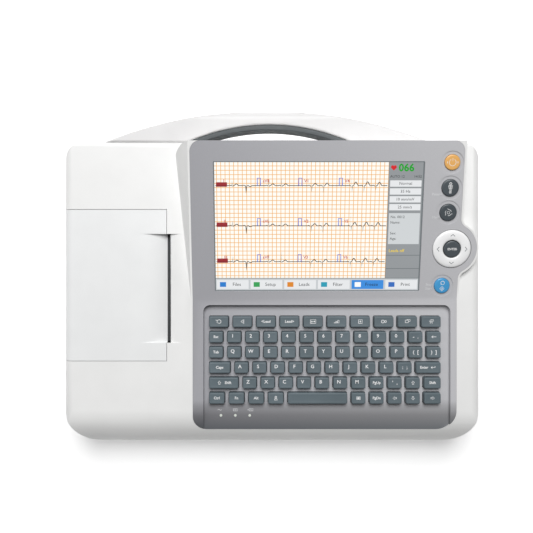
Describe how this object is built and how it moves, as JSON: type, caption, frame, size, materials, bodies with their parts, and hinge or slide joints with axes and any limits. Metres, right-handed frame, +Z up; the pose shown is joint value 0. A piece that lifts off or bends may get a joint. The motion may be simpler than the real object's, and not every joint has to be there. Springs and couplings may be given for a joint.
{
  "type": "ecg machine",
  "caption": "Portable ECG recorder: white case, raised tilted display, grey keyboard fascia, round buttons and navigation ring, side-loading thermal printer lid and rear carrying handle.",
  "frame": {"origin": "centre of the footprint, on the table under the rubber feet", "axes": "+X to the right of the person using it, +Y to the carrying handle at the back, +Z up"},
  "size_m": [0.4366, 0.3546, 0.1],
  "materials": {
    "case_plastic": "fine textured",
    "fascia_film": "satin",
    "grip_rubber": "soft matte",
    "screen_glass": "polished",
    "key_plastic": "matte",
    "amber_plastic": "gloss",
    "blue_plastic": "gloss",
    "dark_plastic": "matte",
    "white_plastic": "satin",
    "silicone": "matte",
    "circuit_board": "solder mask",
    "steel": "brushed",
    "brass": "turned",
    "black_rubber": "matte",
    "paper": "uncoated",
    "light_pipe": "clear"
  },
  "bodies": {
    "case": {"lower_case": "case_plastic", "upper_case": "case_plastic", "fascia": "fascia_film", "handle": "case_plastic", "handle_grip": "grip_rubber", "touch_glass": "screen_glass", "lcd_module": "steel", "main_board": "circuit_board", "keypad_board": "circuit_board", "keymat": "silicone", "light_guides": "light_pipe", "printer_frame": "steel", "paper_bin": "white_plastic", "paper_spindle": "steel", "print_head": "dark_plastic", "drive_motor": "steel", "tear_bar": "steel", "battery": "dark_plastic", "battery_cover": "white_plastic", "power_supply": "circuit_board", "power_inlet": "dark_plastic", "patient_socket": "steel", "data_ports": "steel", "ground_stud": "brass", "speaker": "dark_plastic", "rubber_feet": "black_rubber", "case_screws": "steel", "hinge_pin": "steel"},
    "lid": {"printer_lid": "case_plastic"},
    "platen": {"platen_shaft": "steel", "platen_roller": "black_rubber", "platen_gear": "white_plastic"},
    "idler": {"idler_gear": "white_plastic"},
    "pinion": {"motor_pinion": "brass"},
    "roll": {"paper_roll": "paper"},
    "power_button": {"power_button": "amber_plastic"},
    "patient_button": {"patient_button": "dark_plastic"},
    "mode_button": {"mode_button": "dark_plastic"},
    "start_button": {"start_button": "blue_plastic"},
    "enter_button": {"enter_button": "dark_plastic"},
    "nav_pivot": {"nav_pivot": "white_plastic"},
    "nav_ring": {"nav_ring": "white_plastic"},
    "function_key_1": {"function_key_1": "key_plastic"},
    "function_key_2": {"function_key_2": "key_plastic"},
    "function_key_3": {"function_key_3": "key_plastic"},
    "function_key_4": {"function_key_4": "key_plastic"},
    "function_key_5": {"function_key_5": "key_plastic"},
    "function_key_6": {"function_key_6": "key_plastic"},
    "function_key_7": {"function_key_7": "key_plastic"},
    "function_key_8": {"function_key_8": "key_plastic"},
    "function_key_9": {"function_key_9": "key_plastic"},
    "function_key_10": {"function_key_10": "key_plastic"},
    "digit_keys": {"digit_keys": "key_plastic"},
    "upper_letter_keys": {"upper_letter_keys": "key_plastic"},
    "home_letter_keys": {"home_letter_keys": "key_plastic"},
    "lower_letter_keys": {"lower_letter_keys": "key_plastic"},
    "modifier_keys": {"modifier_keys": "key_plastic"},
    "arrow_keys": {"arrow_keys": "key_plastic"},
    "space_bar": {"space_bar": "key_plastic"},
    "enter_key": {"enter_key": "key_plastic"}
  },
  "joints": [
    {"name": "lid_hinge", "type": "hinge", "parent": "case", "child": "lid", "pos_m": [-0.21175, -0.00635, 0.024], "axis": [0, -1, 0], "range_deg": [0, 80]},
    {"name": "platen_spin", "type": "hinge", "parent": "lid", "child": "platen", "pos_m": [-0.1177, -0.00965, 0.052], "axis": [0, 1, 0], "continuous": true},
    {"name": "idler_spin", "type": "hinge", "parent": "case", "child": "idler", "pos_m": [-0.11311, 0.05535, 0.03657], "axis": [0, 1, 0], "continuous": true},
    {"name": "pinion_spin", "type": "hinge", "parent": "case", "child": "pinion", "pos_m": [-0.10285, 0.05535, 0.02632], "axis": [0, 1, 0], "continuous": true},
    {"name": "roll_spin", "type": "hinge", "parent": "case", "child": "roll", "pos_m": [-0.17475, -0.00965, 0.0328], "axis": [0, 1, 0], "continuous": true},
    {"name": "power_button_press", "type": "slide", "parent": "case", "child": "power_button", "axis": [0, 0.1961, -0.9806], "range_m": [0, 0.001], "stiffness_N_per_m": 600, "springref_m": -0.001},
    {"name": "patient_button_press", "type": "slide", "parent": "case", "child": "patient_button", "axis": [0, 0.1961, -0.9806], "range_m": [0, 0.001], "stiffness_N_per_m": 600, "springref_m": -0.001},
    {"name": "mode_button_press", "type": "slide", "parent": "case", "child": "mode_button", "axis": [0, 0.1961, -0.9806], "range_m": [0, 0.001], "stiffness_N_per_m": 600, "springref_m": -0.001},
    {"name": "start_button_press", "type": "slide", "parent": "case", "child": "start_button", "axis": [0, 0.1961, -0.9806], "range_m": [0, 0.001], "stiffness_N_per_m": 600, "springref_m": -0.001},
    {"name": "enter_button_press", "type": "slide", "parent": "case", "child": "enter_button", "axis": [0, 0.1961, -0.9806], "range_m": [0, 0.001], "stiffness_N_per_m": 600, "springref_m": -0.001},
    {"name": "nav_left_right", "type": "hinge", "parent": "case", "child": "nav_pivot", "pos_m": [0.1847, 0.03225, 0.07377], "axis": [0, 0.9806, 0.1961], "range_deg": [-3, 3], "stiffness_Nm_per_rad": 0.2},
    {"name": "nav_up_down", "type": "hinge", "parent": "nav_pivot", "child": "nav_ring", "pos_m": [0.1847, 0.03225, 0.07377], "axis": [1, 0, 0], "range_deg": [-3, 3], "stiffness_Nm_per_rad": 0.2},
    {"name": "function_key_1_press", "type": "slide", "parent": "case", "child": "function_key_1", "axis": [0, 0, -1], "range_m": [0, 0.0018], "stiffness_N_per_m": 300, "springref_m": -0.001},
    {"name": "function_key_2_press", "type": "slide", "parent": "case", "child": "function_key_2", "axis": [0, 0, -1], "range_m": [0, 0.0018], "stiffness_N_per_m": 300, "springref_m": -0.001},
    {"name": "function_key_3_press", "type": "slide", "parent": "case", "child": "function_key_3", "axis": [0, 0, -1], "range_m": [0, 0.0018], "stiffness_N_per_m": 300, "springref_m": -0.001},
    {"name": "function_key_4_press", "type": "slide", "parent": "case", "child": "function_key_4", "axis": [0, 0, -1], "range_m": [0, 0.0018], "stiffness_N_per_m": 300, "springref_m": -0.001},
    {"name": "function_key_5_press", "type": "slide", "parent": "case", "child": "function_key_5", "axis": [0, 0, -1], "range_m": [0, 0.0018], "stiffness_N_per_m": 300, "springref_m": -0.001},
    {"name": "function_key_6_press", "type": "slide", "parent": "case", "child": "function_key_6", "axis": [0, 0, -1], "range_m": [0, 0.0018], "stiffness_N_per_m": 300, "springref_m": -0.001},
    {"name": "function_key_7_press", "type": "slide", "parent": "case", "child": "function_key_7", "axis": [0, 0, -1], "range_m": [0, 0.0018], "stiffness_N_per_m": 300, "springref_m": -0.001},
    {"name": "function_key_8_press", "type": "slide", "parent": "case", "child": "function_key_8", "axis": [0, 0, -1], "range_m": [0, 0.0018], "stiffness_N_per_m": 300, "springref_m": -0.001},
    {"name": "function_key_9_press", "type": "slide", "parent": "case", "child": "function_key_9", "axis": [0, 0, -1], "range_m": [0, 0.0018], "stiffness_N_per_m": 300, "springref_m": -0.001},
    {"name": "function_key_10_press", "type": "slide", "parent": "case", "child": "function_key_10", "axis": [0, 0, -1], "range_m": [0, 0.0018], "stiffness_N_per_m": 300, "springref_m": -0.001},
    {"name": "digit_keys_press", "type": "slide", "parent": "case", "child": "digit_keys", "axis": [0, 0, -1], "range_m": [0, 0.0018], "stiffness_N_per_m": 3900, "springref_m": -0.001},
    {"name": "upper_letter_keys_press", "type": "slide", "parent": "case", "child": "upper_letter_keys", "axis": [0, 0, -1], "range_m": [0, 0.0018], "stiffness_N_per_m": 3900, "springref_m": -0.001},
    {"name": "home_letter_keys_press", "type": "slide", "parent": "case", "child": "home_letter_keys", "axis": [0, 0, -1], "range_m": [0, 0.0018], "stiffness_N_per_m": 3300, "springref_m": -0.001},
    {"name": "lower_letter_keys_press", "type": "slide", "parent": "case", "child": "lower_letter_keys", "axis": [0, 0, -1], "range_m": [0, 0.0018], "stiffness_N_per_m": 3300, "springref_m": -0.001},
    {"name": "modifier_keys_press", "type": "slide", "parent": "case", "child": "modifier_keys", "axis": [0, 0, -1], "range_m": [0, 0.0018], "stiffness_N_per_m": 1800, "springref_m": -0.001},
    {"name": "arrow_keys_press", "type": "slide", "parent": "case", "child": "arrow_keys", "axis": [0, 0, -1], "range_m": [0, 0.0018], "stiffness_N_per_m": 1200, "springref_m": -0.001},
    {"name": "space_bar_press", "type": "slide", "parent": "case", "child": "space_bar", "axis": [0, 0, -1], "range_m": [0, 0.0018], "stiffness_N_per_m": 300, "springref_m": -0.001},
    {"name": "enter_key_press", "type": "slide", "parent": "case", "child": "enter_key", "axis": [0, 0, -1], "range_m": [0, 0.0018], "stiffness_N_per_m": 300, "springref_m": -0.001}
  ],
  "couplings": [
    {"joint": "idler_spin", "follows": "platen_spin", "ratio": -0.66667},
    {"joint": "pinion_spin", "follows": "platen_spin", "ratio": 1.3333}
  ]
}
